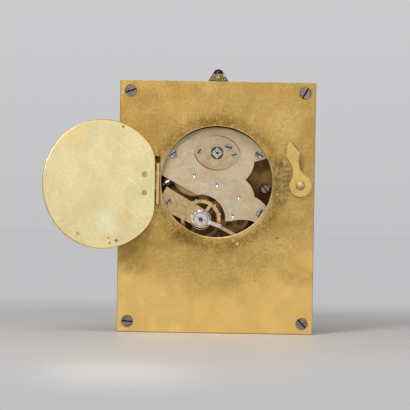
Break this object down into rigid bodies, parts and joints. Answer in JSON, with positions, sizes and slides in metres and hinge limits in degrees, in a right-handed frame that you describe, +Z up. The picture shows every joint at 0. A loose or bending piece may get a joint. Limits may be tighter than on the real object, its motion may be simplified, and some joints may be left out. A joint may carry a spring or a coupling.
{
  "type": "table clock",
  "caption": "Rectangular table clock with a gilt case, a hinged round back lid with a turn-button latch, a winding crown and a working wheel train.",
  "frame": {"origin": "centre of the base, on the surface the clock stands on", "axes": "+Z up, +Y out of the back plate with the lid and latch, -Y out of the dial, +X toward the lid's hinge"},
  "size_m": [0.0904, 0.0379, 0.0891],
  "materials": {
    "gilt_case": "aged gilt, mottled",
    "pale_gilt": "pale satin gilt",
    "panel_enamel": "dark enamel",
    "dial_enamel": "white enamel",
    "crystal_glass": "clear",
    "cabochon_stone": "polished",
    "jewel": "polished",
    "nickel": "frosted nickel plating",
    "gilt_movement": "frosted gilt",
    "wheel_brass": "polished",
    "steel": "polished",
    "blued_steel": "blued"
  },
  "bodies": {
    "case": {"back_plate": "gilt_case", "back_plate_screws": "steel", "balance_cock": "gilt_movement", "barrel_cap": "nickel", "barrel_cap_screws": "steel", "bezel": "gilt_case", "case_frame": "gilt_case", "case_screws": "steel", "click_screw": "steel", "cock_screw": "steel", "crystal": "crystal_glass", "dial": "dial_enamel", "dial_dog_screws": "steel", "end_cap": "steel", "end_jewel": "jewel", "front_panel": "panel_enamel", "hairspring": "blued_steel", "hairspring_stud": "steel", "hinge_pin": "steel", "hinge_plate_leaf": "gilt_case", "latch_collar": "gilt_case", "latch_rivet": "gilt_case", "movement_ring": "gilt_movement", "pallet_cock": "gilt_movement", "pillar_plate": "gilt_movement", "pillars": "gilt_movement", "pivot_cups": "steel", "plate_screws": "steel", "side_cock": "gilt_movement", "stem_tube": "steel", "three_quarter_plate": "nickel"},
    "lid": {"lid_disc": "pale_gilt", "lid_leaf": "gilt_case", "lid_rivets": "gilt_case"},
    "latch": {"latch": "gilt_case"},
    "stem": {"stem_bush": "steel"},
    "crown": {"crown_shell": "pale_gilt", "crown_cabochon": "cabochon_stone", "winding_stem": "steel", "winding_pinion": "steel"},
    "winding_wheel": {"barrel_arbor": "steel", "ratchet_wheel": "steel"},
    "click": {"click": "steel"},
    "barrel": {"barrel": "wheel_brass", "barrel_lid": "wheel_brass", "mainspring": "blued_steel"},
    "intermediate": {"intermediate_wheel": "wheel_brass"},
    "centre": {"centre_wheel": "wheel_brass"},
    "third": {"third_wheel": "wheel_brass"},
    "fourth": {"fourth_wheel": "wheel_brass"},
    "escape": {"escape_wheel": "steel"},
    "pallets": {"pallet_fork": "steel"},
    "balance": {"balance_wheel": "wheel_brass", "balance_staff": "steel"},
    "regulator": {"regulator": "steel"},
    "minute": {"cannon_pinion": "steel", "minute_hand": "blued_steel"},
    "motion": {"minute_wheel": "wheel_brass"},
    "hour": {"hour_wheel": "wheel_brass", "hour_hand": "blued_steel"}
  },
  "joints": [
    {"name": "lid_hinge", "type": "hinge", "parent": "case", "child": "lid", "pos_m": [0.0199, 0.00882, 0.0499], "axis": [0, 0, 1], "range_deg": [-20, 155]},
    {"name": "latch_turn", "type": "hinge", "parent": "case", "child": "latch", "pos_m": [-0.0281, 0.0092, 0.0501], "axis": [0, 1, 0], "continuous": true},
    {"name": "stem_pull", "type": "slide", "parent": "case", "child": "stem", "axis": [0, 0, 1], "range_m": [0, 0.001]},
    {"name": "crown_turn", "type": "hinge", "parent": "stem", "child": "crown", "pos_m": [0, 0.00368, 0.085], "axis": [0, 0, 1], "continuous": true},
    {"name": "winding_turn", "type": "hinge", "parent": "case", "child": "winding_wheel", "pos_m": [0, 0.0048, 0.0607], "axis": [0, 1, 0], "continuous": true},
    {"name": "click_lift", "type": "hinge", "parent": "case", "child": "click", "pos_m": [-0.00388, 0.0048, 0.06267], "axis": [0, 1, 0], "range_deg": [0, 12], "stiffness_Nm_per_rad": 0.000002, "springref_deg": -11.46},
    {"name": "barrel_turn", "type": "hinge", "parent": "case", "child": "barrel", "pos_m": [0, 0.0005, 0.0607], "axis": [0, 1, 0], "continuous": true},
    {"name": "intermediate_turn", "type": "hinge", "parent": "case", "child": "intermediate", "pos_m": [0.0077, 0.002, 0.053], "axis": [0, 1, 0], "continuous": true},
    {"name": "centre_turn", "type": "hinge", "parent": "case", "child": "centre", "pos_m": [0, 0.002, 0.0499], "axis": [0, 1, 0], "continuous": true},
    {"name": "third_turn", "type": "hinge", "parent": "case", "child": "third", "pos_m": [-0.0074, 0.001, 0.04592], "axis": [0, 1, 0], "continuous": true},
    {"name": "fourth_turn", "type": "hinge", "parent": "case", "child": "fourth", "pos_m": [-0.00552, 0.0005, 0.03957], "axis": [0, 1, 0], "continuous": true},
    {"name": "escape_turn", "type": "hinge", "parent": "case", "child": "escape", "pos_m": [0.00043, 0.0015, 0.04173], "axis": [0, 1, 0], "continuous": true},
    {"name": "pallet_rock", "type": "hinge", "parent": "case", "child": "pallets", "pos_m": [0.00276, 0.0018, 0.04], "axis": [0, 1, 0], "range_deg": [-6, 6]},
    {"name": "balance_swing", "type": "hinge", "parent": "case", "child": "balance", "pos_m": [0.00518, 0.0035, 0.03822], "axis": [0, 1, 0], "range_deg": [-220, 220], "stiffness_Nm_per_rad": 0.0000028, "deforming": ["hairspring"]},
    {"name": "regulator_turn", "type": "hinge", "parent": "case", "child": "regulator", "pos_m": [0.00518, 0.0059, 0.03822], "axis": [0, 1, 0], "range_deg": [-2, 10]},
    {"name": "minute_turn", "type": "hinge", "parent": "case", "child": "minute", "pos_m": [0, -0.005, 0.0499], "axis": [0, 1, 0], "continuous": true},
    {"name": "motion_turn", "type": "hinge", "parent": "case", "child": "motion", "pos_m": [0.0032, -0.003, 0.0499], "axis": [0, 1, 0], "continuous": true},
    {"name": "hour_turn", "type": "hinge", "parent": "case", "child": "hour", "pos_m": [0, -0.0045, 0.0499], "axis": [0, 1, 0], "continuous": true}
  ],
  "couplings": [
    {"joint": "winding_turn", "follows": "crown_turn", "ratio": -0.4},
    {"joint": "third_turn", "follows": "fourth_turn", "ratio": -0.13333},
    {"joint": "centre_turn", "follows": "fourth_turn", "ratio": 0.016667},
    {"joint": "intermediate_turn", "follows": "fourth_turn", "ratio": -0.003125},
    {"joint": "barrel_turn", "follows": "fourth_turn", "ratio": 0.00052083},
    {"joint": "escape_turn", "follows": "fourth_turn", "ratio": -10},
    {"joint": "motion_turn", "follows": "minute_turn", "ratio": -0.33333},
    {"joint": "hour_turn", "follows": "minute_turn", "ratio": 0.083333}
  ]
}
